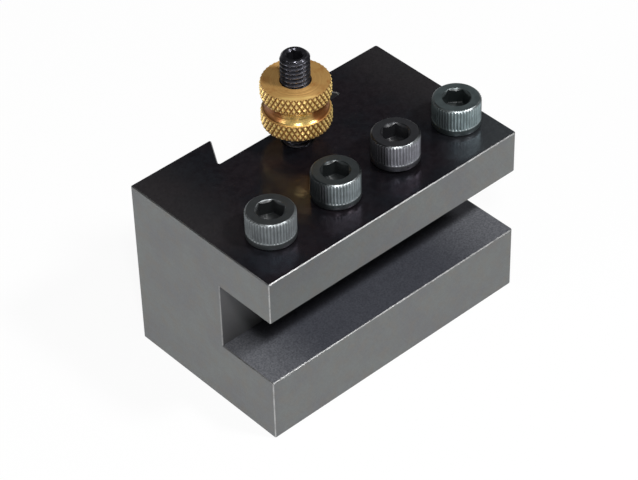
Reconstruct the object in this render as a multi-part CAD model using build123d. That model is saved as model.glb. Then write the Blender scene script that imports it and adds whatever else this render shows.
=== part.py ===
from build123d import *
import math
import os

# Turning tool holder for a dovetail tool post, millimetres, +Z up.
# Origin: centre of the block's bottom face.  +X runs along the block, -Y is the side
# where the tool slot opens, +Y is the side with the dovetail that hangs on the post.

# ---- block ----------------------------------------------------------------------
BLOCK_LENGTH = 52.4
BLOCK_DEPTH = 32.2
BLOCK_HEIGHT = 32.0
EDGE_BREAK = 0.15
RIGHT_CORNER_R = 0.5

# ---- tool slot, open to the front and through both ends ---------------------------
SLOT_FLOOR_Z = 11.8
SLOT_HEIGHT = 12.35
SLOT_DEPTH = 11.8

# ---- dovetail slot, open to the back and through top and bottom -------------------
DOVETAIL_MOUTH = 19.6
DOVETAIL_DEPTH = 5.5
DOVETAIL_ANGLE = 60.0
DOVETAIL_MOUTH_BREAK = 0.35
DOVETAIL_ROOT_R = 0.25

# ---- thread shared by the clamp screws, the stud and the nut ----------------------
THREAD_MAJOR_R = 2.40
THREAD_CLEARANCE = 0.05
MOUTH_BREAK = 0.35

# ---- clamp screws, a row of socket head cap screws --------------------------------
SCREW_ROW_CENTRE_X = 1.575
SCREW_INNER_SPACING = 12.65
SCREW_OUTER_SPACING = 13.35
SCREW_ROW_Y = -7.6
SHANK_LENGTH = 9.5
SHANK_POINT = 0.5
HEAD_R = 3.98
HEAD_HEIGHT = 4.85
HEAD_RIM_BREAK = 0.35
HEAD_BAND_R = 4.0
HEAD_BAND_HEIGHT = 1.1
HEAD_FOOT_BREAK = 0.2
KNURL_RIDGES = 48
KNURL_DEPTH = 0.18
HEAD_SOCKET_FLATS = 4.0
HEAD_SOCKET_DEPTH = 2.6
SOCKET_MOUTH_BREAK = 0.15
SOCKET_POINT_ANGLE = 59.0
# One entry per screw: how far the head stands off the block, and how far it is turned.
SCREW_STAND_OFF = (0.05, 0.05, 0.42, 0.05)
SCREW_TURN = (37.0, 46.0, 45.0, 20.0)

# ---- height stud, a socket set screw bottomed in a blind hole ---------------------
STUD_X = 0.4
STUD_Y = 6.95
STUD_LENGTH = 28.5
STUD_STAND_UP = 16.4
STUD_TOP_BREAK = 0.45
STUD_POINT_BREAK = 0.6
STUD_CUP_R = 1.2
STUD_CUP_DEPTH = 0.7
STUD_SOCKET_FLATS = 2.38
STUD_SOCKET_DEPTH = 3.0
DRILL_POINT_ANGLE = 59.0
STUD_SEAT_GAP = 0.02

# ---- height nut, two knurled bands with a plain groove between them ---------------
NUT_R = 5.75
NUT_HEIGHT = 7.9
NUT_BAND_HEIGHT = 2.7
NUT_GROOVE_R = 4.8
NUT_EDGE_BREAK = 0.35
NUT_LIFT = 3.6
NUT_MOUTH_BREAK = 0.15
NUT_KNURL_COUNT = 40
NUT_KNURL_DEPTH = 0.25
NUT_KNURL_ANGLE = 30.0
NUT_KNURL_OVERLAP = 1.3

# ---- worked out ---------------------------------------------------------------------
FRONT_Y = -BLOCK_DEPTH / 2
BACK_Y = BLOCK_DEPTH / 2
BORE_R = THREAD_MAJOR_R + THREAD_CLEARANCE
PAST = 1.0  # how far a cutting shape runs past the face it leaves
SAME_PLACE = 1e-4
FROM_FLOOR = (Align.CENTER, Align.CENTER, Align.MIN)


def revolved(points, x=0.0, y=0.0, z=0.0):
    """A solid turned about +Z from (radius, height) points, then placed."""
    face = Plane.XZ * make_face(Polyline(*points, close=True))
    return Pos(x, y, z) * revolve(face, Axis.Z, 360)


def tapped_hole(x, y, top_z, bottom_z):
    """Cutter for a through hole with a broken edge at its upper mouth."""
    rim = BORE_R + MOUTH_BREAK
    points = [
        (0, bottom_z - PAST),
        (BORE_R, bottom_z - PAST),
        (BORE_R, top_z - MOUTH_BREAK),
        (rim, top_z),
        (rim, top_z + PAST),
        (0, top_z + PAST),
    ]
    return revolved(points, x, y)


def blind_stud_hole():
    """Cutter for the stud's blind hole, with the cone that a drill leaves at its end."""
    point_run = STUD_POINT_BREAK + THREAD_CLEARANCE
    stud_end_z = BLOCK_HEIGHT + STUD_STAND_UP - STUD_LENGTH
    shoulder_z = stud_end_z - STUD_SEAT_GAP + point_run / math.tan(math.radians(DRILL_POINT_ANGLE))
    tip_z = shoulder_z - BORE_R / math.tan(math.radians(DRILL_POINT_ANGLE))
    rim = BORE_R + MOUTH_BREAK
    points = [
        (0, tip_z),
        (BORE_R, shoulder_z),
        (BORE_R, BLOCK_HEIGHT - MOUTH_BREAK),
        (rim, BLOCK_HEIGHT),
        (rim, BLOCK_HEIGHT + PAST),
        (0, BLOCK_HEIGHT + PAST),
    ]
    return revolved(points, STUD_X, STUD_Y)


def dovetail_slot():
    """Cutter for the dovetail: broken corners at its mouth, rounded ones at its floor."""
    half_mouth = DOVETAIL_MOUTH / 2
    slope = 1 / math.tan(math.radians(DOVETAIL_ANGLE))
    half_floor = half_mouth + DOVETAIL_DEPTH * slope
    floor_y = BACK_Y - DOVETAIL_DEPTH
    break_x = half_mouth + DOVETAIL_MOUTH_BREAK
    right_side = [
        (half_floor, floor_y),
        (half_mouth + DOVETAIL_MOUTH_BREAK * slope, BACK_Y - DOVETAIL_MOUTH_BREAK),
        (break_x, BACK_Y),
        (break_x, BACK_Y + PAST),
    ]
    left_side = [(-x, y) for x, y in reversed(right_side)]
    face = make_face(Polyline(*right_side, *left_side, close=True))
    face = fillet(face.vertices().sort_by(Axis.Y)[:2], DOVETAIL_ROOT_R)
    return extrude(Pos(0, 0, -PAST) * face, BLOCK_HEIGHT + 2 * PAST)


def outer_edges(solid):
    """Edges to break: all in the block's outside planes, and the slot's round the right corner."""
    half = (BLOCK_LENGTH / 2, BLOCK_DEPTH / 2)
    planes = [(0, -half[0]), (0, half[0]), (1, -half[1]), (1, half[1]), (2, 0), (2, BLOCK_HEIGHT)]
    corner = (half[0] - RIGHT_CORNER_R - SAME_PLACE, half[1] - RIGHT_CORNER_R - SAME_PLACE)
    kept = ShapeList()
    for edge in solid.edges():
        low = tuple(edge.bounding_box().min)
        high = tuple(edge.bounding_box().max)
        in_plane = any(max(abs(low[a] - at), abs(high[a] - at)) < SAME_PLACE for a, at in planes)
        upright = max(high[0] - low[0], high[1] - low[1]) < SAME_PLACE
        at_right_corner = low[0] > corner[0] and (high[1] < -corner[1] or low[1] > corner[1])
        at_mouth = low[1] > half[1] - SAME_PLACE and high[0] < corner[0] and low[0] > -corner[0]
        if upright and (at_right_corner or at_mouth):
            continue
        if in_plane or at_right_corner:
            kept.append(edge)
    return kept


def holder_body():
    """The block with its tool slot, dovetail, four tapped holes and the stud's hole."""
    block = Box(BLOCK_LENGTH, BLOCK_DEPTH, BLOCK_HEIGHT, align=FROM_FLOOR)
    block = fillet(block.edges().filter_by(Axis.Z).group_by(Axis.X)[-1], RIGHT_CORNER_R)
    slot = Box(
        BLOCK_LENGTH + 2 * PAST,
        SLOT_DEPTH + PAST,
        SLOT_HEIGHT,
        align=(Align.CENTER, Align.MIN, Align.MIN),
    )
    block -= Pos(0, FRONT_Y - PAST, SLOT_FLOOR_Z) * slot
    block -= dovetail_slot()
    block = chamfer(outer_edges(block), EDGE_BREAK)
    for x in screw_positions():
        block -= tapped_hole(x, SCREW_ROW_Y, BLOCK_HEIGHT, SLOT_FLOOR_Z + SLOT_HEIGHT)
    block -= blind_stud_hole()
    return block


def screw_positions():
    """X of each clamp screw, left to right: two in the middle and one outside each."""
    inner = SCREW_INNER_SPACING / 2
    outer = inner + SCREW_OUTER_SPACING
    return [SCREW_ROW_CENTRE_X + offset for offset in (-outer, -inner, inner, outer)]


def hex_socket(flats, depth, top_z):
    """Cutter for a hexagon socket: broken mouth, straight walls, coned floor."""
    corner_r = flats / math.sqrt(3)
    hexagon = extrude(Pos(0, 0, top_z - depth) * RegularPolygon(corner_r, 6), depth + PAST)
    mouth_r = corner_r + SOCKET_MOUTH_BREAK
    mouth = revolved([(0, top_z - mouth_r), (mouth_r + PAST, top_z + PAST), (0, top_z + PAST)])
    inner_r = flats / 2
    tip_z = top_z - depth - inner_r / math.tan(math.radians(SOCKET_POINT_ANGLE))
    point = revolved([(0, tip_z), (inner_r, top_z - depth), (0, top_z - depth)])
    return hexagon + mouth + point


def knurled_head():
    """Screw head standing on z = 0: plain band, straight knurl, broken rim, hex socket."""
    valley_r = HEAD_R - KNURL_DEPTH
    outline = []
    for i in range(KNURL_RIDGES):
        for step, radius in ((0.0, HEAD_R), (0.5, valley_r)):
            turn = 2 * math.pi * (i + step) / KNURL_RIDGES
            outline.append((radius * math.cos(turn), radius * math.sin(turn)))
    star = Pos(0, 0, HEAD_BAND_HEIGHT) * make_face(Polyline(*outline, close=True))
    ridges = extrude(star, HEAD_HEIGHT - HEAD_BAND_HEIGHT)
    # The broken rim is one flat to each ridge, so it is the loft of two many-sided outlines.
    half_ridge = 180 / KNURL_RIDGES
    corner = 1 / math.cos(math.radians(half_ridge))
    rim = []
    for radius, z in ((HEAD_R + PAST, -PAST), (HEAD_R - HEAD_RIM_BREAK, HEAD_RIM_BREAK)):
        level = Pos(0, 0, HEAD_HEIGHT - HEAD_RIM_BREAK + z) * Rot(0, 0, half_ridge)
        rim.append(level * RegularPolygon(radius * corner, KNURL_RIDGES))
    rim = loft(rim, ruled=True)
    below_rim = Cylinder(HEAD_R + PAST, HEAD_HEIGHT - HEAD_RIM_BREAK - PAST, align=FROM_FLOOR)
    band = revolved(
        [
            (0, 0),
            (HEAD_BAND_R - HEAD_FOOT_BREAK, 0),
            (HEAD_BAND_R, HEAD_FOOT_BREAK),
            (HEAD_BAND_R, HEAD_BAND_HEIGHT),
            (0, HEAD_BAND_HEIGHT),
        ]
    )
    head = (ridges & (rim + below_rim)) + band
    return head - hex_socket(HEAD_SOCKET_FLATS, HEAD_SOCKET_DEPTH, HEAD_HEIGHT)


def clamp_screw():
    """A cap screw with its head's seat on z = 0 and its shank below."""
    shank = revolved(
        [
            (0, -SHANK_LENGTH),
            (THREAD_MAJOR_R - SHANK_POINT, -SHANK_LENGTH),
            (THREAD_MAJOR_R, -SHANK_LENGTH + SHANK_POINT),
            (THREAD_MAJOR_R, 0),
            (0, 0),
        ]
    )
    return knurled_head() + shank


def height_stud():
    """The set screw that stands up out of the block: coned top, socket, cup point."""
    top_z = BLOCK_HEIGHT + STUD_STAND_UP
    end_z = top_z - STUD_LENGTH
    rod = revolved(
        [
            (0, end_z + STUD_CUP_DEPTH),
            (STUD_CUP_R, end_z),
            (THREAD_MAJOR_R - STUD_POINT_BREAK, end_z),
            (THREAD_MAJOR_R, end_z + STUD_POINT_BREAK),
            (THREAD_MAJOR_R, top_z - STUD_TOP_BREAK),
            (THREAD_MAJOR_R - STUD_TOP_BREAK, top_z),
            (0, top_z),
        ]
    )
    rod -= hex_socket(STUD_SOCKET_FLATS, STUD_SOCKET_DEPTH, top_z)
    return Pos(STUD_X, STUD_Y, 0) * rod


def knurl_cutters(middle_z):
    """V grooves that cross at the knurl angle all round one band and meet in sharp crests."""
    root_r = NUT_R - NUT_KNURL_DEPTH
    spacing = 2 * math.pi * NUT_R / NUT_KNURL_COUNT * math.cos(math.radians(NUT_KNURL_ANGLE))
    half_width = spacing * NUT_KNURL_OVERLAP
    outer_r = NUT_R + NUT_KNURL_DEPTH
    outline = [(root_r, 0), (outer_r, half_width), (outer_r, -half_width)]
    reach = NUT_BAND_HEIGHT
    wedge = Pos(0, 0, -reach) * extrude(make_face(Polyline(*outline, close=True)), 2 * reach)
    cutters = []
    for lean in (-NUT_KNURL_ANGLE, NUT_KNURL_ANGLE):
        leaning = Rot(lean, 0, 0) * wedge
        for i in range(NUT_KNURL_COUNT):
            cutters.append(Pos(0, 0, middle_z) * Rot(0, 0, 360 * i / NUT_KNURL_COUNT) * leaning)
    return cutters


def nut_band(bottom_z):
    """One knurled band of the nut: bevelled flanges at the knurl's root, diamonds between."""
    root_r = NUT_R - NUT_KNURL_DEPTH
    knurl_bottom_z = bottom_z + NUT_EDGE_BREAK
    knurl_top_z = bottom_z + NUT_BAND_HEIGHT - NUT_EDGE_BREAK
    knurled = revolved(
        [
            (NUT_GROOVE_R, knurl_bottom_z),
            (NUT_R, knurl_bottom_z),
            (NUT_R, knurl_top_z),
            (NUT_GROOVE_R, knurl_top_z),
        ]
    )
    knurled = knurled.cut(*knurl_cutters(bottom_z + NUT_BAND_HEIGHT / 2))
    inner_r = NUT_GROOVE_R - PAST
    flanged = revolved(
        [
            (inner_r, bottom_z),
            (root_r - NUT_EDGE_BREAK, bottom_z),
            (root_r, knurl_bottom_z),
            (root_r, knurl_top_z),
            (root_r - NUT_EDGE_BREAK, bottom_z + NUT_BAND_HEIGHT),
            (inner_r, bottom_z + NUT_BAND_HEIGHT),
        ]
    )
    return knurled + flanged


def height_nut():
    """The nut on the stud: bored core, plain groove, a knurled band above and below."""
    core = revolved(
        [
            (BORE_R + NUT_MOUTH_BREAK, 0),
            (NUT_GROOVE_R, 0),
            (NUT_GROOVE_R, NUT_HEIGHT),
            (BORE_R + NUT_MOUTH_BREAK, NUT_HEIGHT),
            (BORE_R, NUT_HEIGHT - NUT_MOUTH_BREAK),
            (BORE_R, NUT_MOUTH_BREAK),
        ]
    )
    nut = core + nut_band(0) + nut_band(NUT_HEIGHT - NUT_BAND_HEIGHT)
    return Pos(STUD_X, STUD_Y, BLOCK_HEIGHT + NUT_LIFT) * nut


def main():
    os.makedirs("parts", exist_ok=True)
    nodes = {
        "holder_body": holder_body(),
        "height_stud": height_stud(),
        "height_nut": height_nut(),
    }
    screw = clamp_screw()
    for i, x in enumerate(screw_positions()):
        place = Pos(x, SCREW_ROW_Y, BLOCK_HEIGHT + SCREW_STAND_OFF[i]) * Rot(0, 0, SCREW_TURN[i])
        nodes[f"clamp_screw_{i + 1}"] = place * screw
    for name, solid in nodes.items():
        export_step(solid, f"parts/{name}.step")


main()
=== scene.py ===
import math
from typing import NamedTuple

import bmesh
import bpy
from bpy.props import FloatProperty, FloatVectorProperty, IntProperty, PointerProperty
from mathutils import Matrix, Vector


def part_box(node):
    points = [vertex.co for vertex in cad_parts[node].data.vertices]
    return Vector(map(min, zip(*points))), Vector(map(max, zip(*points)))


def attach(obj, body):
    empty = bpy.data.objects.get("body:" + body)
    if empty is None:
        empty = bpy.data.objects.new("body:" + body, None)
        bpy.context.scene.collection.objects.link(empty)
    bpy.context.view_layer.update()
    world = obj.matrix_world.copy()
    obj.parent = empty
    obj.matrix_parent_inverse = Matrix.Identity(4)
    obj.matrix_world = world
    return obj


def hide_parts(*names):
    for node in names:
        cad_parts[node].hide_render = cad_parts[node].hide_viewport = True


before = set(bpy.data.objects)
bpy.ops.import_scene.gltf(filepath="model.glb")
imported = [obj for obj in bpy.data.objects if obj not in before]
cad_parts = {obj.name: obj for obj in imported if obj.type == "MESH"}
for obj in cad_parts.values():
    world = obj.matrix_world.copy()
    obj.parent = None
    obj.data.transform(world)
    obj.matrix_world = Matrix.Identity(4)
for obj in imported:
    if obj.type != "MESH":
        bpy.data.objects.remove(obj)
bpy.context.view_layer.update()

bl_info = {
    "name": "Turning Tool Holder",
    "version": (1, 0, 0),
    "blender": (4, 5, 0),
    "location": "3D View > Sidebar > Tool Holder",
    "description": "Dresses a dovetail turning tool holder: block, clamp screws, stud and nut",
    "category": "Object",
}

MM = 0.001
FULL_TURN = 2 * math.pi
QUARTER_TURN = FULL_TURN / 4
SIXTH_TURN = FULL_TURN / 6
SHARP_ANGLE = math.radians(32)
DRILL_HALF_ANGLE = math.radians(59)
WEAR = "wear"  # a number on each point: 0 in the grooves, 1 where hands and tools rub
SCREW_NODES = sorted(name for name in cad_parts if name.startswith("clamp_screw"))

# How finely the round pieces are meshed.
SAMPLES_PER_RIDGE = 8
SAMPLES_PER_DIAMOND = 12
SHANK_SAMPLES = 72
STUD_SAMPLES = 96
BAND_ROWS = 36
GROOVE_STEPS = 10
CONE_STEPS = 4


class ScrewLook(NamedTuple):
    """How pale a screw's head is on its far side, its near side and its top, from 0 to 1, and the cast
    of its oxide: painted shade darkens the far side and painted light brightens the near side.
    """

    far: float
    near: float
    top: float
    cast: tuple


# From the left end to the right.
SCREW_LOOKS = (
    ScrewLook(far=0.55, near=0.72, top=0.1, cast=(1.0, 0.98, 0.98)),
    ScrewLook(far=0.03, near=0.95, top=0.11, cast=(0.97, 1.0, 1.0)),
    ScrewLook(far=0.03, near=0.85, top=0.06, cast=(1.03, 0.93, 1.0)),
    ScrewLook(far=0.2, near=1.0, top=0.34, cast=(0.93, 1.04, 1.03)),
)


# ---- sizes and colours a user would change --------------------------------------------


def length(name, text, default):
    """A length property, given in millimetres and kept in metres."""
    return FloatProperty(
        name=name, description=text, default=default * MM, unit="LENGTH", precision=5
    )


def angle(name, text, default):
    """An angle property, given in degrees."""
    return FloatProperty(
        name=name, description=text, default=math.radians(default), subtype="ANGLE"
    )


def colour(name, text, default):
    """A linear colour property."""
    return FloatVectorProperty(
        name=name, description=text, default=default, subtype="COLOR", size=3, min=0, max=1
    )


def share(name, text, default):
    """A property from none to all."""
    return FloatProperty(
        name=name, description=text, default=default, min=0, max=1, subtype="FACTOR"
    )


def power(name, text, default):
    """A lamp's power in watts."""
    return FloatProperty(
        name=name, description=text, default=default, min=0, max=50, unit="POWER"
    )


def count(name, text, default, least, most):
    """A property in whole numbers."""
    return IntProperty(name=name, description=text, default=default, min=least, max=most)


class HolderBlockSettings(bpy.types.PropertyGroup):
    """Finish of the block."""

    oxide: colour("Oxide", "Blackened steel of the milled faces", (0.155, 0.165, 0.163))
    dark_oxide: colour("Dark Oxide", "Darker patches of the blackening", (0.142, 0.147, 0.153))
    warm_oxide: colour("Warm Oxide", "Browner patches of the blackening", (0.18, 0.165, 0.148))
    slot_oxide: colour("Slot Oxide", "Blackened steel of the slot's floor", (0.15, 0.155, 0.17))
    top_oxide: colour("Top Oxide", "Blackened steel of the ground top face", (0.085, 0.07, 0.085))
    blue_oxide: colour("Blue Oxide", "Bluish patches of the ground top face", (0.06, 0.068, 0.085))
    bare_edge: colour("Bare Edge", "Steel that shows along worn edges", (0.42, 0.42, 0.42))
    roughness: share("Roughness", "Roughness of the milled faces", 0.5)
    top_roughness: share("Top Roughness", "Roughness of the ground top face", 0.19)
    mark_pitch: length("Mill Mark Pitch", "Distance between milling marks", 0.55)


class ClampScrewSettings(bpy.types.PropertyGroup):
    """Shape and finish of the socket head cap screws."""

    head_radius: length("Head Radius", "Radius over the knurl's ridges", 3.98)
    head_height: length("Head Height", "Height of the head above its seat", 4.85)
    ridges: count("Ridges", "Knurl ridges round the head", 48, 12, 96)
    ridge_height: length("Ridge Height", "Height of a ridge over the valley", 0.15)
    band_radius: length("Band Radius", "Radius of the plain band under the knurl", 4.0)
    band_height: length("Band Height", "Plain band under the knurl", 1.1)
    foot_break: length("Foot Break", "Rounding at the bottom of the head", 0.2)
    rim_break: length("Rim Break", "Bevel round the top of the head", 0.35)
    socket_flats: length("Socket Flats", "Width of the hexagon socket across flats", 4.0)
    socket_depth: length("Socket Depth", "Depth of the hexagon's walls", 2.6)
    mouth_break: length("Mouth Break", "Bevel at the socket's mouth", 0.06)
    shank_length: length("Shank Length", "Threaded length under the head", 9.5)
    tip_break: length("Tip Break", "Bevel round the tip of the shank", 0.5)
    # The pale oxide shows as painted light on each head's near side; the bare edge is rim wear, shown
    # most on that side as a painted highlight.
    oxide: colour("Oxide", "Rubbed oxide of the screws", (0.3, 0.34, 0.355))
    bare_edge: colour("Bare Edge", "Steel that shows on the ridges and rims", (0.45, 0.48, 0.49))
    roughness: share("Roughness", "Roughness of the screws", 0.3)


class ThreadSettings(bpy.types.PropertyGroup):
    """The thread that screws, stud and nut share."""

    major_radius: length("Major Radius", "Radius over the thread's crests", 2.4)
    pitch: length("Pitch", "Distance from crest to crest", 25.4 / 32)
    depth: length("Depth", "Height of the thread's flanks", 0.46)
    clearance: length("Clearance", "Gap between the crests and the nut's bore", 0.05)
    rows_per_pitch: count("Rows", "Mesh rows to each turn", 12, 6, 32)


class HeightStudSettings(bpy.types.PropertyGroup):
    """Shape and finish of the height stud."""

    top_break: length("Top Break", "Bevel round the top of the stud", 0.45)
    foot_break: length("Foot Break", "Bevel round the bottom of the stud", 0.6)
    socket_flats: length("Socket Flats", "Width of the hexagon socket across flats", 2.38)
    socket_depth: length("Socket Depth", "Depth of the hexagon's walls", 3.0)
    mouth_break: length("Mouth Break", "Bevel at the socket's mouth", 0.12)
    oxide: colour("Oxide", "Blackened steel of the stud", (0.055, 0.055, 0.065))
    roughness: share("Roughness", "Roughness of the stud", 0.25)


class HeightNutSettings(bpy.types.PropertyGroup):
    """Shape and finish of the height nut."""

    band_height: length("Band Height", "Height of each knurled band", 2.7)
    groove_radius: length("Groove Radius", "Radius of the plain groove between the bands", 4.8)
    groove_fillet: length("Groove Fillet", "Height of the groove's hollow above and below", 0.95)
    edge_break: length("Edge Break", "Bevel along the bands' edges", 0.22)
    mouth_break: length("Mouth Break", "Bevel at the bore's mouths", 0.1)
    diamonds: count("Diamonds", "Knurl diamonds round each band", 40, 12, 80)
    diamond_depth: length("Diamond Depth", "Depth of the knurl's grooves", 0.34)
    diamond_lean: angle("Diamond Lean", "Lean of the knurl's grooves", 30)
    brass: colour("Brass", "Clean brass", (0.95, 0.7, 0.25))
    tarnish: colour("Tarnish", "Tarnished brass", (0.5, 0.22, 0.06))
    roughness: share("Roughness", "Roughness of the turned faces", 0.34)


class StageSettings(bpy.types.PropertyGroup):
    """Camera, lamps and floor."""

    lens: FloatProperty(
        name="Lens",
        description="Camera focal length",
        default=143.07,
        min=20,
        max=400,
        unit="CAMERA",
    )
    azimuth: angle("Azimuth", "Camera heading, from the front towards the left end", 41.41)
    elevation: angle("Elevation", "Camera height over the horizon", 40.983)
    roll: angle("Roll", "Camera turn about its own axis", -1.656)
    distance: length("Distance", "From the camera to its aim point", 406.26)
    floor: colour("Floor", "Pale floor", (0.86, 0.86, 0.86))
    floor_white: share("Floor White", "How far the floor shows as plain white", 0.93)
    horizon: share("Horizon", "Brightness of the studio low down", 0.25)
    overhead: share("Overhead", "Brightness of the studio overhead", 0.08)
    key: power("Key", "Power of the key lamp", 2.6)
    side: power("Side", "Power of the lamp on the right", 4.4)
    low: power("Low", "Power of the low lamp on the left", 2.0)


SETTINGS = {
    "holder_block": HolderBlockSettings,
    "clamp_screw": ClampScrewSettings,
    "holder_thread": ThreadSettings,
    "height_stud": HeightStudSettings,
    "height_nut": HeightNutSettings,
    "holder_stage": StageSettings,
}


# ---- mesh tools -----------------------------------------------------------------------


def ring(radius, z, samples):
    """One ring of points; radius and z are numbers or functions of the angle."""
    points = []
    for k in range(samples):
        turn = FULL_TURN * k / samples
        r = radius(turn) if callable(radius) else radius
        height = z(turn) if callable(z) else z
        points.append((r * math.cos(turn), r * math.sin(turn), height))
    return points


def skin(bm, rings, closed=False):
    """Joins rings of equal length with quads, and caps the first and last unless they join."""
    rows = [[bm.verts.new(p) for p in points] for points in rings]
    samples = len(rows[0])
    pairs = list(zip(rows, rows[1:]))
    if closed:
        pairs.append((rows[-1], rows[0]))
    for low, high in pairs:
        for k in range(samples):
            after = (k + 1) % samples
            bm.faces.new((low[k], low[after], high[after], high[k]))
    if not closed:
        bm.faces.new(list(reversed(rows[0])))
        bm.faces.new(rows[-1])


def mesh_piece(name, bm, place, wear=None):
    """A shaded object from a bmesh: sharp where its faces turn hard, with wear on its points."""
    bmesh.ops.recalc_face_normals(bm, faces=bm.faces)
    for face in bm.faces:
        face.smooth = True
    for edge in bm.edges:
        if len(edge.link_faces) == 2:
            edge.smooth = edge.calc_face_angle(0.0) < SHARP_ANGLE
    if wear:
        layer = bm.verts.layers.float.new(WEAR)
        for vert in bm.verts:
            vert[layer] = min(max(wear(vert.co), 0.0), 1.0)
    bm.transform(place)
    mesh = bpy.data.meshes.new(name)
    bm.to_mesh(mesh)
    bm.free()
    piece = bpy.data.objects.new(name, mesh)
    bpy.context.scene.collection.objects.link(piece)
    return piece


def axis_of(node):
    """Where the upright axis of a turned piece crosses the ground."""
    low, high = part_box(node)
    return Vector(((low.x + high.x) / 2, (low.y + high.y) / 2, 0))


def crest_wear(root, depth):
    """Wear that grows from none at the root's radius to full at the crests."""

    def wear(point):
        return (math.hypot(point.x, point.y) - root) / depth

    return wear


def hexagon_radius(flats):
    """Radius of a hexagon, a corner at angle 0, as a function of the angle."""

    def radius(turn):
        from_flat = turn % SIXTH_TURN - SIXTH_TURN / 2
        return flats / 2 / math.cos(from_flat)

    return radius


def thread_radius(thread, z, turn):
    """Radius of a right-hand thread at a height and angle."""
    root_share = 0.14
    flank_share = 0.7
    along = (z / thread.pitch - turn / FULL_TURN) % 1.0
    slope = 1 - 2 * abs(along - 0.5)
    raised = min(max((slope - root_share) / flank_share, 0.0), 1.0)
    return thread.major_radius - thread.depth * (1 - raised)


def threaded_rings(thread, low_z, high_z, low_break, high_break, samples):
    """Rings of a threaded rod between two heights, with a bevel at each end."""
    rows = max(2, round((high_z - low_z) / thread.pitch * thread.rows_per_pitch))
    root = thread.major_radius - thread.depth
    rings = []
    for i in range(rows + 1):
        z = low_z + (high_z - low_z) * i / rows
        low_limit = thread.major_radius - low_break + (z - low_z)
        high_limit = thread.major_radius - high_break + (high_z - z)
        limit = min(low_limit, high_limit)

        def radius(turn, z=z, limit=limit):
            return max(min(thread_radius(thread, z, turn), limit), min(root, limit))

        rings.append(ring(radius, z, samples))
    return rings


def socket_rings(piece, top_z, samples):
    """Rings of a hexagon socket: bevelled mouth, straight walls, floor coned by a drill."""
    corner_height = 0.05 * MM
    corner_width = 0.04 * MM
    drill_clearance = 0.03 * MM
    coned_share = 0.97  # the cone stops just short of its tip
    hexagon = hexagon_radius(piece.socket_flats)
    mouth_r = piece.socket_flats / math.sqrt(3) + piece.mouth_break
    floor_z = top_z - piece.socket_depth
    cone_r = piece.socket_flats / 2 - drill_clearance
    tip_z = floor_z - cone_r / math.tan(DRILL_HALF_ANGLE)
    rings = [
        ring(mouth_r, top_z, samples),
        ring(hexagon, lambda turn: top_z - (mouth_r - hexagon(turn)), samples),
        ring(hexagon, floor_z + corner_height, samples),
        ring(lambda turn: hexagon(turn) - corner_width, floor_z, samples),
        ring(cone_r, floor_z, samples),
    ]
    for i in range(1, CONE_STEPS + 1):
        left = 1 - i / CONE_STEPS * coned_share
        rings.append(ring(cone_r * left, tip_z + (floor_z - tip_z) * left, samples))
    return rings


# ---- material tools -------------------------------------------------------------------


def scaled(tint, factor):
    """A colour made lighter or darker."""
    return tuple(part * factor for part in tint)


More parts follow.
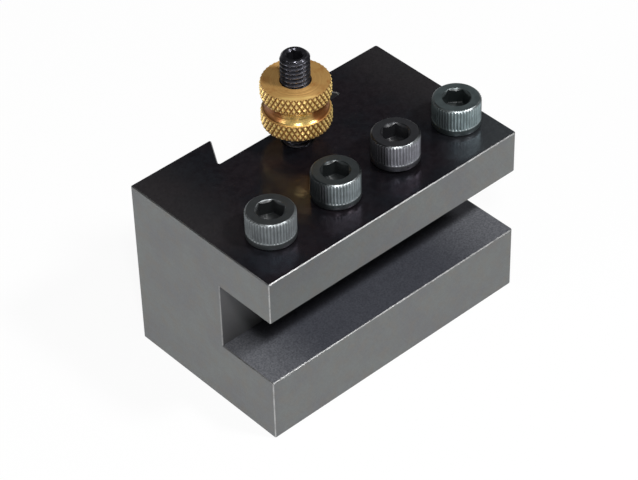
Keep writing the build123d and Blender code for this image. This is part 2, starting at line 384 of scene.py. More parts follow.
class Finish:
    """A material's node tree, with short calls that add nodes and join them."""

    def __init__(self, name):
        self.material = bpy.data.materials.new(name)
        self.material.use_nodes = True
        self.tree = self.material.node_tree
        self.shader = self.tree.nodes["Principled BSDF"]
        place = self.add("ShaderNodeTexCoord")
        scale = self.add("ShaderNodeVectorMath", operation="SCALE")
        scale.inputs["Scale"].default_value = 1 / MM
        self.join(place.outputs["Object"], scale.inputs[0])
        self.millimetres = scale.outputs[0]
        self.facing = place.outputs["Normal"]

    def add(self, kind, **settings):
        node = self.tree.nodes.new(kind)
        for name, value in settings.items():
            setattr(node, name, value)
        return node

    def join(self, source, target):
        self.tree.links.new(source, target)

    def value(self, source, socket):
        """Joins an output or sets a plain number."""
        if isinstance(source, bpy.types.NodeSocket):
            self.join(source, socket)
        else:
            socket.default_value = source

    def shade(self, **sources):
        """Joins an output, or sets a number, on each named socket of the shader."""
        for name, source in sources.items():
            self.value(source, self.shader.inputs[name.replace("_", " ").title()])

    def maths(self, operation, a, b=0.0):
        node = self.add("ShaderNodeMath", operation=operation)
        self.value(a, node.inputs[0])
        self.value(b, node.inputs[1])
        return node.outputs[0]

    def times(self, a, b):
        return self.maths("MULTIPLY", a, b)

    def larger(self, a, b):
        return self.maths("MAXIMUM", a, b)

    def without_sign(self, a):
        return self.maths("ABSOLUTE", a)

    def axes(self, vector):
        node = self.add("ShaderNodeSeparateXYZ")
        self.join(vector, node.inputs[0])
        return node.outputs

    def stretched(self, scale, turn):
        """Place in millimetres, turned and then scaled along each axis."""
        rotate = self.add("ShaderNodeMapping", vector_type="POINT")
        self.join(self.millimetres, rotate.inputs["Vector"])
        rotate.inputs["Rotation"].default_value = turn
        node = self.add("ShaderNodeMapping", vector_type="POINT")
        self.join(rotate.outputs[0], node.inputs["Vector"])
        node.inputs["Scale"].default_value = scale
        return node.outputs[0]

    def noise(self, scale, detail=3.0, roughness=0.6, vector=None):
        """Cloudy noise; a scale of 1 gives lumps about a millimetre wide."""
        node = self.add("ShaderNodeTexNoise")
        self.join(vector or self.millimetres, node.inputs["Vector"])
        node.inputs["Scale"].default_value = scale
        node.inputs["Detail"].default_value = detail
        node.inputs["Roughness"].default_value = roughness
        return node.outputs["Fac"]

    def ranged(self, source, low, high, at_low=0.0, at_high=1.0):
        """A number that eases from at_low to at_high as the source goes from low to high."""
        node = self.add("ShaderNodeMapRange", interpolation_type="SMOOTHSTEP")
        self.join(source, node.inputs["Value"])
        node.inputs["From Min"].default_value = low
        node.inputs["From Max"].default_value = high
        node.inputs["To Min"].default_value = at_low
        node.inputs["To Max"].default_value = at_high
        return node.outputs["Result"]

    def patches(self, scale, low, high, at_low=0.0, at_high=1.0, detail=3.0, roughness=0.6):
        """Noise with its contrast set by the levels where it starts and ends."""
        return self.ranged(self.noise(scale, detail, roughness), low, high, at_low, at_high)

    def mix(self, factor, a, b):
        """A colour from a to b."""
        node = self.add("ShaderNodeMix", data_type="RGBA")
        self.value(factor, node.inputs[0])
        for source, socket in ((a, node.inputs[6]), (b, node.inputs[7])):
            if isinstance(source, bpy.types.NodeSocket):
                self.join(source, socket)
            else:
                socket.default_value = (*source, 1.0)
        return node.outputs[2]

    def between(self, factor, a, b):
        """A number from a to b."""
        node = self.add("ShaderNodeMix", data_type="FLOAT")
        self.value(factor, node.inputs[0])
        self.value(a, node.inputs[2])
        self.value(b, node.inputs[3])
        return node.outputs[0]

    def towards(self, axis, azimuth):
        """Distance from an upright axis towards a heading in degrees, in millimetres."""
        x, y, _ = self.axes(self.millimetres)
        side = heading(math.radians(azimuth), 0.0)
        along_x = self.times(self.maths("SUBTRACT", x, axis.x / MM), side.x)
        along_y = self.times(self.maths("SUBTRACT", y, axis.y / MM), side.y)
        return self.maths("ADD", along_x, along_y)

    def worn(self):
        """The wear that the mesh holds on its points."""
        return self.add("ShaderNodeAttribute", attribute_name=WEAR).outputs["Fac"]

    def bump(self, height, distance, strength, under=None):
        """A relief of that height in metres, laid over another one."""
        node = self.add("ShaderNodeBump")
        node.inputs["Distance"].default_value = distance
        self.value(strength, node.inputs["Strength"])
        self.join(height, node.inputs["Height"])
        if under is not None:
            self.join(under, node.inputs["Normal"])
        return node.outputs[0]


# ---- finishes -------------------------------------------------------------------------


class BlockFinish(Finish):
    """Black oxide over milled steel: a dark ground top, a matt slot floor, bare edges, with painted
    shade in the slot and on the flanks, painted light at the slot's left end and a painted reflection
    on the top.

    Distances are in millimetres. Squareness is the largest part of a face's direction along
    one axis: 1 on the walls, 0.87 on the dovetail's flanks and 0.71 on bevels.
    """

    BEVEL_STARTS, BEVEL_FULL = 0.85, 0.78
    FLANK_STARTS, FLANK_FULL = 0.91, 0.88
    FLANK_LASTS, FLANK_ENDS = 0.86, 0.85
    UP_STARTS, UP_FULL = 0.8, 0.98
    WALL_SPECKLE = (0.03, 0.03, 0.032)
    # Painted shade for the dovetail's flanks.
    FLANK_SHADE = (0.03, 0.03, 0.033)
    # Painted shade for the slot's inner wall and painted light for its left end.
    INNER_WALL_SHADE = (0.01, 0.01, 0.013)
    LEFT_END_LIGHT = (0.12, 0.12, 0.125)
    JAW_FRONT_DARK = (0.02, 0.025, 0.03)
    # Painted shade for the middle of the slot's floor.
    SLOT_SHADE = (0.035, 0.038, 0.05)
    SLOT_SPECKLE = (0.012, 0.012, 0.018)
    # Painted shadow for the slot's inner corner.
    SLOT_CORNER_SHADOW = (0.006, 0.006, 0.009)
    TOP_GRAIN = (0.03, 0.022, 0.03)
    TOP_SPECKLE = (0.03, 0.024, 0.032)
    PALE_TOP_ENDS = (0.17, 0.16, 0.165)
    # Painted reflection for the top's right front corner.
    CORNER_REFLECTION = (0.22, 0.245, 0.265)
    BARE_ROUGHNESS = 0.34
    WALL_METALLIC, TOP_METALLIC, SLOT_METALLIC = 0.55, 0.9, 0.1

    def __init__(self, settings, low, high):
        super().__init__("black_oxide_block")
        self.settings = settings
        self.left, self.right, self.front = low.x / MM, high.x / MM, low.y / MM
        self.middle_z = (low.z + high.z) / 2 / MM
        self.x, self.y, self.z = self.axes(self.millimetres)
        nx, self.ny, nz = self.axes(self.facing)
        sideways = self.larger(self.without_sign(nx), self.without_sign(self.ny))
        squareness = self.larger(sideways, self.without_sign(nz))
        self.bevel = self.ranged(squareness, self.BEVEL_STARTS, self.BEVEL_FULL)
        self.flank = self.times(
            self.ranged(squareness, self.FLANK_STARTS, self.FLANK_FULL),
            self.ranged(squareness, self.FLANK_ENDS, self.FLANK_LASTS),
        )
        upward = self.ranged(nz, self.UP_STARTS, self.UP_FULL)
        self.top = self.times(upward, self.over_middle(0, 8))
        self.slot_floor = self.times(upward, self.over_middle(0, -3))
        forward = self.ranged(self.ny, -self.UP_STARTS, -self.UP_FULL)
        self.inner_wall = self.times(forward, self.behind_front(3, 8))
        self.speckle = self.patches(3.2, 0.3, 0.7, detail=4.0, roughness=0.75)
        self.shade(
            base_color=self.edged(self.mix(self.top, self.sides(), self.ground_top())),
            roughness=self.gloss(),
            metallic=self.larger(
                self.between(
                    self.slot_floor,
                    self.between(self.top, self.WALL_METALLIC, self.TOP_METALLIC),
                    self.SLOT_METALLIC,
                ),
                self.bevel,
            ),
            normal=self.relief(),
        )

    def from_left(self, start, end, at_start=0.0, at_end=1.0):
        """A number that changes between two distances from the left end."""
        return self.ranged(self.x, self.left + start, self.left + end, at_start, at_end)

    def behind_front(self, start, end, at_start=0.0, at_end=1.0):
        """A number that changes between two distances behind the front."""
        return self.ranged(self.y, self.front + start, self.front + end, at_start, at_end)

    def over_middle(self, start, end):
        """A mask that starts and is full at two heights over the block's middle."""
        return self.ranged(self.z, self.middle_z + start, self.middle_z + end)

    def sides(self):
        """Milled walls: warm and cool patches under a fine speckle, with painted shade and light in the
        slot and painted shade on the flanks.
        """
        s = self.settings
        clouds = self.patches(0.16, 0.35, 0.68, detail=4.0)
        walls = self.mix(clouds, tuple(s.oxide), tuple(s.dark_oxide))
        warmth = self.patches(0.5, 0.42, 0.7, at_high=0.5)
        walls = self.mix(warmth, walls, tuple(s.warm_oxide))
        walls = self.mix(self.times(self.speckle, 0.14), walls, self.WALL_SPECKLE)
        # Painted shade darkens the slot's inner wall but for its left end, which the light reaches, and
        # painted light brightens that end.
        inner_shade = self.times(self.inner_wall, self.from_left(1, 10, at_start=0.15, at_end=0.6))
        walls = self.mix(inner_shade, walls, self.INNER_WALL_SHADE)
        end_light = self.times(self.inner_wall, self.from_left(13, 1, at_end=0.8))
        walls = self.mix(end_light, walls, self.LEFT_END_LIGHT)
        # The upper jaw's front is darker, most at its left end.
        jaw_front = self.times(self.over_middle(6.5, 8.5), self.ranged(self.ny, -0.9, -0.98))
        leftward = self.ranged(self.x, self.left, self.right, at_low=0.3, at_high=0.0)
        darker_jaw_front = self.times(jaw_front, leftward)
        walls = self.mix(darker_jaw_front, walls, self.JAW_FRONT_DARK)
        # Painted shade darkens the dovetail's flanks.
        walls = self.mix(self.flank, walls, self.FLANK_SHADE)
        return self.mix(self.slot_floor, walls, self.slot())

    def slot(self):
        """The slot's floor: painted shade in its middle that lightens towards both ends, where light
        comes in, and a painted shadow in its inner corner.
        """
        least = 0.18
        # Painted shade lifts towards both ends of the slot, where light comes in.
        lit_right_end = self.ranged(self.x, self.right - 16, self.right, at_low=least)
        lit_ends = self.larger(lit_right_end, self.from_left(13, 0, at_start=least))
        slot = self.mix(lit_ends, self.SLOT_SHADE, tuple(self.settings.slot_oxide))
        slot = self.mix(self.times(self.speckle, 0.6), slot, self.SLOT_SPECKLE)
        # Painted shadow darkens the slot's inner corner under the upper jaw, but not at its left end.
        corner_shadow = self.times(self.behind_front(6.8, 8.6, at_end=0.8), self.from_left(1, 8))
        return self.mix(corner_shadow, slot, self.SLOT_CORNER_SHADOW)

    def ground_top(self):
        """The ground top: brown and blue patches, paler at its ends, with a painted reflection towards
        its right front corner.
        """
        s = self.settings
        lid = self.mix(self.patches(0.13, 0.36, 0.64), tuple(s.top_oxide), tuple(s.blue_oxide))
        grain = self.patches(0.9, 0.35, 0.7, at_high=0.6, detail=4.0, roughness=0.75)
        lid = self.mix(grain, lid, self.TOP_GRAIN)
        off_middle = self.without_sign(
            self.maths("SUBTRACT", self.x, (self.left + self.right) / 2)
        )
        ends = self.times(self.ranged(off_middle, 13.0, 27.0), self.behind_front(5, 16))
        lid = self.mix(self.times(ends, 0.75), lid, self.PALE_TOP_ENDS)
        # A painted reflection brightens the top towards the corner at the right and the front.
        cornerwise = self.maths("SUBTRACT", self.x, self.times(self.y, 0.9))
        painted_light_share = self.ranged(cornerwise, 22.0, 37.0, at_high=0.95)
        lid = self.mix(painted_light_share, lid, self.CORNER_REFLECTION)
        return self.mix(self.times(self.speckle, 0.4), lid, self.TOP_SPECKLE)

    def edged(self, body):
        """Bare steel along the edges, in places, and less of it away from the front."""
        worn = self.times(self.bevel, self.patches(0.9, 0.25, 0.6, at_low=0.35))
        worn = self.times(worn, self.behind_front(3, 8, at_start=1.0, at_end=0.4))
        return self.mix(worn, body, tuple(self.settings.bare_edge))

    def gloss(self):
        """Roughness: matt walls, a glossier top, bare bevels."""
        rough = self.settings.roughness
        walls = self.patches(0.5, 0.2, 0.8, rough - 0.05, rough + 0.05, detail=4.0)
        rough = self.settings.top_roughness
        lid = self.patches(0.35, 0.2, 0.8, rough - 0.03, rough + 0.06, roughness=0.5)
        return self.between(self.bevel, self.between(self.top, walls, lid), self.BARE_ROUGHNESS)

    def relief(self):
        """Milling marks in two directions over a fine grain, all faint on the ground top."""
        per_mark = MM / self.settings.mark_pitch
        along, across = 0.06, 0.05  # how far the marks are drawn out
        leaning = (0.0, math.radians(35), 0.0)
        marks = self.stretched((per_mark, per_mark * along, per_mark * along), leaning)
        leaning = (math.radians(20), 0.0, 0.0)
        cross = self.stretched((per_mark * across, per_mark, per_mark * across), leaning)
        marks = self.noise(1.0, detail=2.0, roughness=0.5, vector=marks)
        cross = self.noise(1.0, detail=2.0, roughness=0.5, vector=cross)
        normal = self.bump(marks, 0.04 * MM, self.between(self.top, 1.0, 0.1))
        normal = self.bump(cross, 0.03 * MM, self.between(self.top, 0.35, 0.0), normal)
        return self.bump(self.noise(5.0), 0.03 * MM, self.between(self.top, 0.5, 0.12), normal)


def screw_finish(settings, name, axis, look):
    """Black oxide, glossy where it is whole and matt and paler where worn, with painted shade on each
    head's far side and painted light on its near side.
    """
    lit_azimuth = 14
    far_side, near_side = 2.1, 3.4  # millimetres from the axis
    f = Finish(name)
    tint = tuple(part * cast for part, cast in zip(settings.oxide, look.cast, strict=True))
    dark = scaled(tint, 0.05)
    upright = f.without_sign(f.axes(f.facing)[2])
    worn = f.worn()
    rim = f.times(f.ranged(upright, 0.3, 0.55), f.ranged(upright, 0.96, 0.85))
    rim = f.times(rim, f.ranged(worn, 0.25, 0.4))
    # Painted shade keeps each head's far side dark and glossy; painted light brightens its near side
    # and its bare rim there.
    lit_side = f.ranged(f.towards(axis, lit_azimuth), far_side, near_side)
    side_light = f.between(lit_side, look.far, look.near)
    painted_light_share = f.between(f.ranged(upright, 0.5, 0.8), side_light, look.top)
    body = f.mix(f.times(worn, painted_light_share), dark, tint)
    body = f.mix(f.patches(0.7, 0.35, 0.7, at_high=0.35, detail=4.0), body, dark)
    scuffs = f.patches(1.4, 0.35, 0.6, at_low=0.2, at_high=0.75)
    body = f.mix(f.times(f.times(rim, scuffs), side_light), body, tuple(settings.bare_edge))
    rough = settings.roughness + 0.15 * look.far
    rough = f.patches(1.6, 0.25, 0.75, rough - 0.05, rough + 0.06)
    rough = f.between(f.ranged(worn, 0.3, 0.7), rough, f.maths("ADD", rough, 0.06))
    f.shade(
        base_color=body,
        metallic=f.between(rim, 0.25, 0.9),
        roughness=rough,
        normal=f.bump(f.noise(6.0), 0.03 * MM, 0.5),
    )
    return f.material


def stud_finish(settings, axis):
    """Glossy black oxide, paler along the thread's crests on the open side: a painted highlight."""
    crest_highlight_azimuth = 50
    f = Finish("black_oxide_stud")
    tint = tuple(settings.oxide)
    body = f.mix(f.patches(0.9, 0.35, 0.7), tint, scaled(tint, 0.55))
    crest_highlight = f.times(f.worn(), f.patches(1.3, 0.35, 0.65, at_low=0.6))
    crest_highlight = f.times(crest_highlight, f.ranged(f.towards(axis, crest_highlight_azimuth), 1.6, 2.3))
    rough = settings.roughness
    f.shade(
        base_color=f.mix(crest_highlight, body, scaled(tint, 2.6)),
        metallic=0.8,
        roughness=f.ranged(f.noise(1.0, 2.0, 0.5), 0.25, 0.75, rough - 0.03, rough + 0.03),
        normal=f.bump(f.noise(5.0), 0.01 * MM, 0.2),
    )
    return f.material


def brass_finish(settings, axis):
    """Turned brass: rings about the nut's axis, brown tarnish, bright knurl tips, painted shade off the
    front and a painted highlight at the front.
    """
    highlight_azimuth = 39
    red_shade = (0.2, 0.055, 0.014)
    brass, tarnish = tuple(settings.brass), tuple(settings.tarnish)
    f = Finish("turned_brass")
    x, y, z = f.axes(f.millimetres)
    off_x = f.maths("SUBTRACT", x, axis.x / MM)
    off_y = f.maths("SUBTRACT", y, axis.y / MM)
    radius = f.maths("SQRT", f.maths("ADD", f.times(off_x, off_x), f.times(off_y, off_y)))
    profile = f.add("ShaderNodeCombineXYZ")
    f.join(radius, profile.inputs[0])
    f.join(z, profile.inputs[2])
    fine = f.noise(9.0, detail=2.0, vector=profile.outputs[0])
    rings = f.noise(2.6, detail=2.0, vector=profile.outputs[0])
    flat = f.ranged(f.without_sign(f.axes(f.facing)[2]), 0.85, 0.97)
    groove_r = settings.groove_radius / MM
    outside = f.ranged(radius, groove_r + 0.4, groove_r + 0.6)
    on_knurl = f.times(outside, f.maths("SUBTRACT", 1.0, flat))
    # Painted shade turns the groove a dark red away from the front, and the flat faces a little.
    front = f.ranged(f.towards(axis, highlight_azimuth), 4.0, 4.75)
    patches = f.patches(0.5, 0.35, 0.65, at_low=0.35, detail=4.0, roughness=0.65)
    stain = f.times(patches, f.ranged(fine, 0.3, 0.7, at_low=0.7))
    stain = f.larger(stain, f.times(flat, 0.65))
    plain = f.mix(stain, brass, tarnish)
    shaded_off_front = f.times(f.maths("SUBTRACT", 1.0, front), f.between(flat, 0.85, 0.15))
    plain = f.mix(shaded_off_front, plain, red_shade)
    # A painted highlight of clean brass, with bright rings on the flat faces, lightens the front.
    ringed = f.ranged(rings, 0.42, 0.6, at_low=0.1, at_high=0.7)
    plain = f.mix(f.times(front, f.between(flat, 0.7, ringed)), plain, brass)
    knurl = f.mix(f.ranged(f.worn(), 0.05, 0.75), scaled(tarnish, 0.55), brass)
    rough = f.patches(1.2, 0.25, 0.75, settings.roughness - 0.06, settings.roughness + 0.08)
    rough = f.between(front, rough, settings.roughness * 0.8)
    rough = f.between(on_knurl, rough, settings.roughness * 0.75)
    normal = f.bump(rings, 0.16 * MM, 0.9)
    normal = f.bump(fine, 0.03 * MM, 0.6, normal)
    # Fine turning marks run round the axis, so the shine spreads across them.
    f.shade(
        base_color=f.mix(on_knurl, plain, knurl),
        metallic=f.between(flat, f.between(on_knurl, 0.8, 0.55), 0.5),
        roughness=f.between(flat, rough, 0.48),
        anisotropic=0.7,
        anisotropic_rotation=0.25,
        tangent=f.add("ShaderNodeTangent", direction_type="RADIAL", axis="Z").outputs[0],
        normal=f.bump(f.noise(4.0), 0.02 * MM, 0.3, normal),
    )
    return f.material


# ---- pieces ---------------------------------------------------------------------------


class HOLDER_OT_block(bpy.types.Operator):
    """Gives the block its blackened finish"""

    bl_idname = "holder.block"
    bl_label = "Finish Block"

    def execute(self, context):
        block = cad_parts["holder_body"]
        finish = BlockFinish(context.scene.holder_block, *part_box("holder_body"))
        block.data.materials.clear()
        block.data.materials.append(finish.material)
        return {"FINISHED"}


def screw_turn(node, settings):
    """Angle of a screw's first socket corner, read from the packed solid's own socket."""
    near_enough = 0.02 * MM
    centre = axis_of(node)
    corner = settings.socket_flats / math.sqrt(3)
    depth_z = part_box(node)[1].z - settings.socket_depth
    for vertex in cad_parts[node].data.vertices:
        out = Vector((vertex.co.x, vertex.co.y, 0)) - centre
        at_radius = abs(out.length - corner) < near_enough
        if at_radius and abs(vertex.co.z - depth_z) < near_enough:
            return math.atan2(out.y, out.x) % SIXTH_TURN
    raise RuntimeError(f"{node} has no socket corner to read its turn from")


def head_rings(settings, samples):
    """Rings of a knurled head from its seat up to the rim of the socket."""
    under_head = 1.0 * MM
    band_edge = 0.03 * MM
    half_ridge = 0.06 * MM  # ridges grow over this height above the band
    full_ridge = 0.14 * MM
    rim_edge = 0.02 * MM
    flat_edge = 0.12 * MM
    radius = settings.head_radius
    height = settings.head_height
    rim_z = height - settings.rim_break
    band = settings.band_height
    outer = settings.band_radius
    foot = settings.foot_break

    def ridge(grown, limit):
        def at(turn):
            wave = 0.5 + 0.5 * math.cos(turn * settings.ridges)
            return min(radius - settings.ridge_height * (1 - wave) * grown, limit)

        return at

    rings = [ring(under_head, 0, samples)]
    for step in (0.0, 0.3, 0.7, 1.0):
        turn = step * QUARTER_TURN
        out, up = foot * math.sin(turn), foot * math.cos(turn)
        rings.append(ring(outer - foot + out, foot - up, samples))
    rings += [
        ring(outer, band - half_ridge, samples),
        ring(outer - band_edge, band, samples),
        ring(ridge(0.5, radius), band + half_ridge, samples),
        ring(ridge(1.0, radius), band + full_ridge, samples),
    ]
    start = band + full_ridge
    for step in (0.3, 0.6, 0.9, 1.0):
        rings.append(ring(ridge(1.0, radius), start + (rim_z - start) * step, samples))
    for step in (0.25, 0.5, 0.75, 0.92):
        drop = settings.rim_break * step
        rings.append(ring(ridge(1.0, radius - drop), rim_z + drop, samples))
    top_r = radius - settings.rim_break
    rings.append(ring(top_r - rim_edge, height, samples))
    rings.append(ring(top_r - flat_edge, height, samples))
    return rings


def head_wear(settings):
    """Wear on a head: none in its socket, little on its foot, most along the ridges."""
    foot_wear = 0.12
    valley_wear = 0.5
    valley = settings.head_radius - settings.ridge_height
    socket = settings.socket_flats / math.sqrt(3) + 0.02 * MM

    def wear(point):
        out = math.hypot(point.x, point.y)
        if out < socket:
            return 0.0
        if point.z < settings.band_height:
            return foot_wear
        return valley_wear + (1 - valley_wear) * max(out - valley, 0.0) / settings.ridge_height

    return wear


class HOLDER_OT_clamp_screws(bpy.types.Operator):
    """Makes the four clamp screws: knurled heads, hexagon sockets and threaded shanks"""

    bl_idname = "holder.clamp_screws"
    bl_label = "Make Clamp Screws"

    def execute(self, context):
        settings = context.scene.clamp_screw
        thread = context.scene.holder_thread
        into_head = 0.02 * MM
        samples = settings.ridges * SAMPLES_PER_RIDGE
        for node, look in zip(SCREW_NODES, SCREW_LOOKS, strict=True):
            axis = axis_of(node)
            seat_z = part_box(node)[1].z - settings.head_height
            turn = Matrix.Rotation(screw_turn(node, settings), 4, "Z")
            place = Matrix.Translation((axis.x, axis.y, seat_z)) @ turn
            bm = bmesh.new()
            rings = head_rings(settings, samples)
            rings += socket_rings(settings, settings.head_height, samples)
            skin(bm, rings)
            tip = settings.tip_break
            skin(bm, threaded_rings(thread, -settings.shank_length, into_head, tip, 0.0, SHANK_SAMPLES))
            piece = mesh_piece(f"knurled_{node}", bm, place, head_wear(settings))
            finish = screw_finish(settings, f"black_oxide_{node}", axis, look)
            piece.data.materials.append(finish)
            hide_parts(node)
            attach(piece, node)
        return {"FINISHED"}


class HOLDER_OT_height_stud(bpy.types.Operator):
    """Makes the threaded height stud with its hexagon socket"""

    bl_idname = "holder.height_stud"
    bl_label = "Make Height Stud"

    def execute(self, context):
        settings = context.scene.height_stud
        thread = context.scene.holder_thread
        low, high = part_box("height_stud")
        axis = axis_of("height_stud")
        foot, top = settings.foot_break, settings.top_break
        rings = threaded_rings(thread, low.z, high.z, foot, top, STUD_SAMPLES)
        rings += socket_rings(settings, high.z, STUD_SAMPLES)
        bm = bmesh.new()
        skin(bm, rings)
        wear = crest_wear(thread.major_radius - thread.depth, thread.depth)
        piece = mesh_piece("threaded_height_stud", bm, Matrix.Translation(axis), wear)
        piece.data.materials.append(stud_finish(settings, axis))
        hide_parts("height_stud")
        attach(piece, "holder")
        return {"FINISHED"}


def knurled(settings, outer, height, limit):
    """Radius of a diamond knurl at a height, cut no higher than the band's own outline."""
    climb = math.tan(settings.diamond_lean) * height / outer

    def radius(turn):
        deepest = 0.0
        for side in (-1, 1):
            along = (turn + side * climb) / FULL_TURN * settings.diamonds % 1.0
            deepest = max(deepest, abs(2 * along - 1))
        return min(outer - settings.diamond_depth * deepest, limit)

    return radius


def band_rings(settings, outer, bottom, samples):
    """Rings of one knurled band, with a bevel along each edge."""
    band = settings.band_height
    edge = settings.edge_break
    rings = []
    for i in range(BAND_ROWS + 1):
        z = band * i / BAND_ROWS
        limit = outer - max(edge - z, edge - (band - z), 0.0)
        rings.append(ring(knurled(settings, outer, z - band / 2, limit), bottom + z, samples))
    return rings


def groove_outline(settings, outer):
    """Radii and heights of the hollow between a band's lip and the groove's floor."""
    lip = outer - settings.edge_break - 0.05 * MM
    outline = []
    for i in range(GROOVE_STEPS + 1):
        turn = i / GROOVE_STEPS * QUARTER_TURN
        out = settings.groove_radius + (lip - settings.groove_radius) * (1 - math.sin(turn))
        outline.append((out, settings.groove_fillet * (1 - math.cos(turn))))
    return outline


class HOLDER_OT_height_nut(bpy.types.Operator):
    """Makes the brass height nut: two diamond-knurled bands and a plain groove"""

    bl_idname = "holder.height_nut"
    bl_label = "Make Height Nut"

    def execute(self, context):
        settings = context.scene.height_nut
        thread = context.scene.holder_thread
        low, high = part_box("height_nut")
        axis = axis_of("height_nut")
        outer = (high.x - low.x) / 2
        height = high.z - low.z
        samples = settings.diamonds * SAMPLES_PER_DIAMOND
        bore = thread.major_radius + thread.clearance
        mouth = settings.mouth_break
        band = settings.band_height
        groove = groove_outline(settings, outer)
        rings = [ring(bore, mouth, samples), ring(bore + mouth, 0, samples)]
        rings += band_rings(settings, outer, 0, samples)
        rings += [ring(r, band + z, samples) for r, z in groove]
        rings += [ring(r, height - band - z, samples) for r, z in reversed(groove)]
        rings += band_rings(settings, outer, height - band, samples)
        rings += [ring(bore + mouth, height, samples), ring(bore, height - mouth, samples)]
        bm = bmesh.new()
        skin(bm, rings, closed=True)
        depth = settings.diamond_depth
        place = Matrix.Translation((axis.x, axis.y, low.z))
        piece = mesh_piece("knurled_height_nut", bm, place, crest_wear(outer - depth, depth))
        piece.data.materials.append(brass_finish(settings, axis))
        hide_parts("height_nut")
        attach(piece, "height_nut")
        return {"FINISHED"}


# ---- stage ----------------------------------------------------------------------------

AIM_POINT = Vector((-1.675, 0.166, 16.0)) * MM
SENSOR_WIDTH = 36  # millimetres
FLOOR_REACH = 3.0  # metres, from the middle to each side
FLOOR_GAP = 0.05 * MM
HORIZON_TOP = math.radians(8)
OVERHEAD_STARTS = math.radians(30)


def aim(obj, direction, roll=0.0):
    """Turns a lamp or camera so that it looks along a direction."""
    turn = direction.to_track_quat("-Z", "Y").to_matrix().to_4x4()
    obj.matrix_world = Matrix.Translation(obj.location) @ turn @ Matrix.Rotation(roll, 4, "Z")


def heading(azimuth, elevation):
    """Unit vector from the object towards a place at that azimuth and elevation."""
    flat = math.cos(elevation)
    return Vector((-math.sin(azimuth) * flat, -math.cos(azimuth) * flat, math.sin(elevation)))


def lamp(name, watts, azimuth, elevation, distance, size):
    """A square soft lamp that faces the object; angles in degrees, lengths in metres."""
    light = bpy.data.lights.new(name, "AREA")
    light.shape = "SQUARE"
    light.size = size
    light.energy = watts
    obj = bpy.data.objects.new(name, light)
    bpy.context.scene.collection.objects.link(obj)
    away = heading(math.radians(azimuth), math.radians(elevation))
    obj.location = AIM_POINT + away * distance
    aim(obj, -away)


def shown_white(tree):
    """1 on the rays that should see the pale background: camera, glossy and transmission."""
    path = tree.nodes.new("ShaderNodeLightPath")
    seen = path.outputs["Is Camera Ray"]
    for rays in ("Is Glossy Ray", "Is Transmission Ray"):
        either = tree.nodes.new("ShaderNodeMath")
        either.operation = "MAXIMUM"
        tree.links.new(seen, either.inputs[0])
        tree.links.new(path.outputs[rays], either.inputs[1])
        seen = either.outputs[0]
    return seen


def floor_finish(settings):
    """A pale floor that reads as white and keeps the object's shadow."""
    material = bpy.data.materials.new("pale_floor")
    material.use_nodes = True
    tree = material.node_tree
    shader = tree.nodes["Principled BSDF"]
    shader.inputs["Base Color"].default_value = (*settings.floor, 1)
    shader.inputs["Roughness"].default_value = 0.9
    shader.inputs["Specular IOR Level"].default_value = 0.1
    white = tree.nodes.new("ShaderNodeEmission")
    white.inputs["Color"].default_value = (1, 1, 1, 1)
    share_of_white = tree.nodes.new("ShaderNodeMath")
    share_of_white.operation = "MULTIPLY"
    share_of_white.inputs[1].default_value = settings.floor_white
    tree.links.new(shown_white(tree), share_of_white.inputs[0])
    blend = tree.nodes.new("ShaderNodeMixShader")
    tree.links.new(share_of_white.outputs[0], blend.inputs[0])
    tree.links.new(shader.outputs[0], blend.inputs[1])
    tree.links.new(white.outputs[0], blend.inputs[2])
    tree.links.new(blend.outputs[0], tree.nodes["Material Output"].inputs["Surface"])
    return material


def studio_world(settings):
    """White low down and dim overhead, as in a studio with a pale sweep."""
    world = bpy.data.worlds.new("studio")
    bpy.context.scene.world = world
    world.use_nodes = True
    tree = world.node_tree
    place = tree.nodes.new("ShaderNodeTexCoord")
    split = tree.nodes.new("ShaderNodeSeparateXYZ")
    tree.links.new(place.outputs["Generated"], split.inputs[0])
    level = tree.nodes.new("ShaderNodeMapRange")
    level.interpolation_type = "SMOOTHSTEP"
    level.inputs["From Min"].default_value = math.sin(HORIZON_TOP)
    level.inputs["From Max"].default_value = math.sin(OVERHEAD_STARTS)
    level.inputs["To Min"].default_value = settings.horizon
    level.inputs["To Max"].default_value = settings.overhead
    tree.links.new(split.outputs["Z"], level.inputs["Value"])
    background = tree.nodes["Background"]
    background.inputs["Color"].default_value = (1, 1, 1, 1)
    tree.links.new(level.outputs["Result"], background.inputs["Strength"])


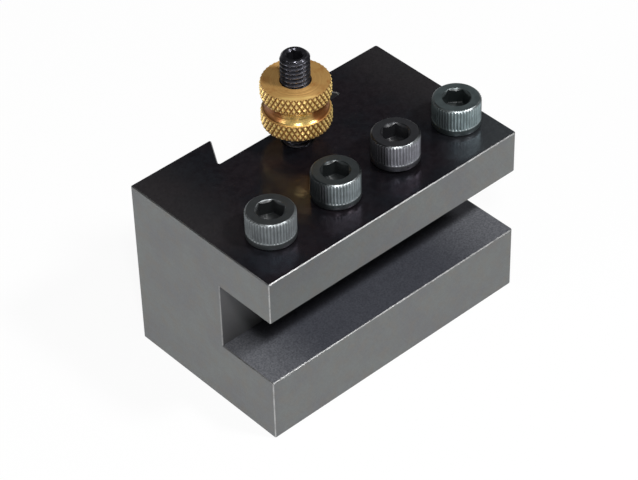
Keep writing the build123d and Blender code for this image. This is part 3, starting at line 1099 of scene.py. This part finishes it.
class HOLDER_OT_stage(bpy.types.Operator):
    """Sets up the camera, the lamps, the floor and the studio around the holder"""

    bl_idname = "holder.stage"
    bl_label = "Set Stage"

    def execute(self, context):
        settings = context.scene.holder_stage
        scene = context.scene
        camera = bpy.data.objects.new("camera", bpy.data.cameras.new("camera"))
        scene.collection.objects.link(camera)
        camera.data.lens = settings.lens
        camera.data.sensor_width = SENSOR_WIDTH
        camera.data.clip_start = 10 * MM
        away = heading(settings.azimuth, settings.elevation)
        camera.location = AIM_POINT + away * settings.distance
        aim(camera, -away, settings.roll)
        scene.camera = camera
        lamp("key", settings.key, azimuth=36, elevation=50.5, distance=0.7, size=0.07)
        lamp("side", settings.side, azimuth=-30, elevation=52, distance=0.8, size=0.12)
        lamp("low", settings.low, azimuth=95, elevation=14, distance=0.8, size=0.3)
        bm = bmesh.new()
        bmesh.ops.create_grid(bm, x_segments=8, y_segments=8, size=FLOOR_REACH)
        floor = mesh_piece("studio_floor", bm, Matrix.Translation((0, 0, -FLOOR_GAP)))
        floor.data.materials.append(floor_finish(settings))
        studio_world(settings)
        scene.view_settings.view_transform = "Standard"
        return {"FINISHED"}


class HOLDER_PT_panel(bpy.types.Panel):
    """Sidebar panel with the holder's pieces"""

    bl_idname = "HOLDER_PT_panel"
    bl_label = "Turning Tool Holder"
    bl_space_type = "VIEW_3D"
    bl_region_type = "UI"
    bl_category = "Tool Holder"

    def draw(self, context):
        for operator in OPERATORS:
            self.layout.operator(operator.bl_idname)
        for name, group in SETTINGS.items():
            box = self.layout.box()
            box.label(text=group.__doc__)
            for field in group.__annotations__:
                box.prop(getattr(context.scene, name), field)


OPERATORS = (
    HOLDER_OT_stage,
    HOLDER_OT_block,
    HOLDER_OT_clamp_screws,
    HOLDER_OT_height_stud,
    HOLDER_OT_height_nut,
)


def register():
    for cls in (*SETTINGS.values(), *OPERATORS, HOLDER_PT_panel):
        bpy.utils.register_class(cls)
    for name, group in SETTINGS.items():
        setattr(bpy.types.Scene, name, PointerProperty(type=group))


def unregister():
    for name in SETTINGS:
        delattr(bpy.types.Scene, name)
    for cls in (HOLDER_PT_panel, *reversed(OPERATORS), *reversed(SETTINGS.values())):
        bpy.utils.unregister_class(cls)


def main():
    register()
    bpy.ops.holder.stage()
    bpy.ops.holder.block()
    bpy.ops.holder.clamp_screws()
    bpy.ops.holder.height_stud()
    bpy.ops.holder.height_nut()


if __name__ == "__main__":
    main()
